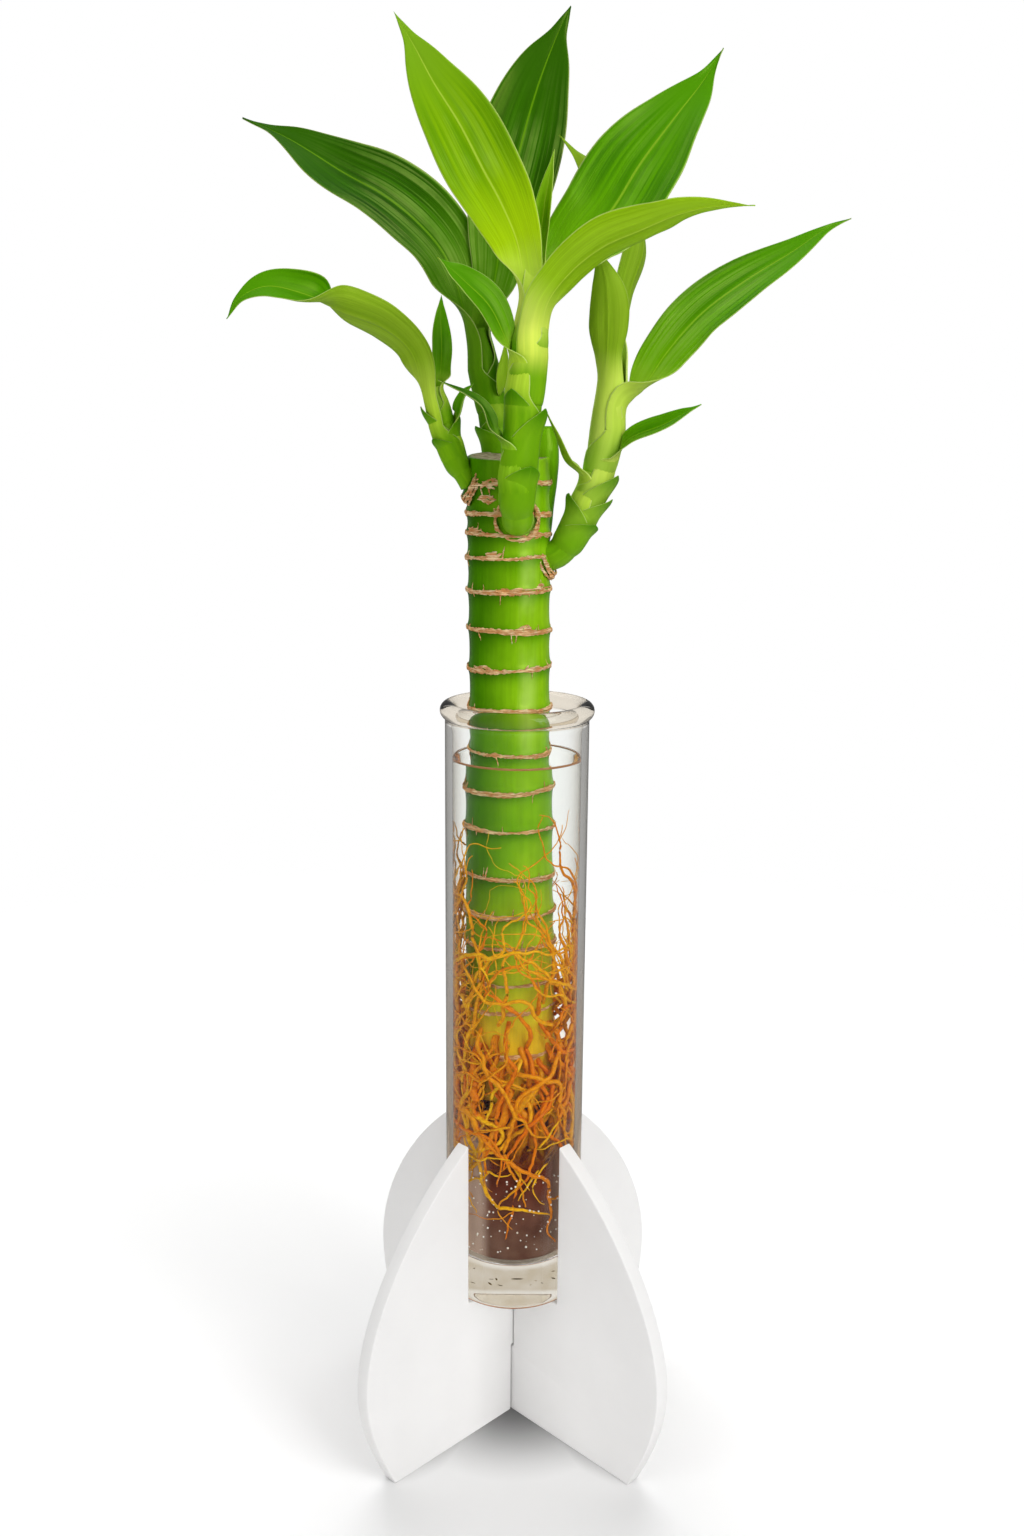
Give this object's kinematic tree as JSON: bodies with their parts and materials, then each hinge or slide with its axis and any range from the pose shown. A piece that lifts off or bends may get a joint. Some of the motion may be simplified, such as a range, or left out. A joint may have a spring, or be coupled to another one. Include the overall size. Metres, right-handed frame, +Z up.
{
  "type": "lucky bamboo",
  "caption": "Cut green cane with leafy side shoots, rooted in water in a rimmed glass tube, held upright by a stand of crossed curved plates.",
  "frame": {"origin": "on the surface the stand rests on, under the axis of the glass tube, where the two stand plates cross", "axes": "+Z up along the tube, -Y towards the front of the plant, the stand plates on the diagonals between X and Y"},
  "size_m": [0.1644, 0.0877, 0.4051],
  "materials": {
    "stand_white": "smooth satin white sheet with lightly eased edges",
    "clear_glass": "clear polished glass with a rolled rim and a thick flat foot",
    "water": "clear still water",
    "cane_skin": "glossy green skin with raised pale brown leaf scars, yellow towards the foot",
    "roots": "matted thin orange roots",
    "shoot_stem": "smooth pale green wrapped leaf bases",
    "leaf_green": "glossy mid green with fine parallel veins and a pale edge",
    "leaf_bright": "glossy yellow green with fine parallel veins and a pale edge",
    "leaf_dark": "glossy dark green with fine parallel veins and a pale edge"
  },
  "bodies": {
    "root": {"stand_plate_over": "stand_white", "stand_plate_under": "stand_white", "glass_tube": "clear_glass", "water": "water", "cane": "cane_skin", "roots": "roots", "stem_left": "shoot_stem", "stem_front": "shoot_stem", "stem_back": "shoot_stem", "stem_right": "shoot_stem", "leaf_left_arching": "leaf_green", "leaf_left_upright": "leaf_green", "leaf_left_low": "leaf_green", "leaf_front_bright": "leaf_bright", "leaf_front_arching": "leaf_bright", "leaf_front_small": "leaf_green", "leaf_front_spear": "leaf_bright", "leaf_front_narrow": "leaf_dark", "leaf_front_large": "leaf_green", "leaf_back_dark": "leaf_dark", "leaf_back_tall": "leaf_dark", "leaf_back_low": "leaf_green", "leaf_right_long": "leaf_green", "leaf_right_behind": "leaf_green", "leaf_right_folded": "leaf_green", "leaf_right_small": "leaf_green", "leaf_right_narrow": "leaf_green"}
  },
  "joints": []
}
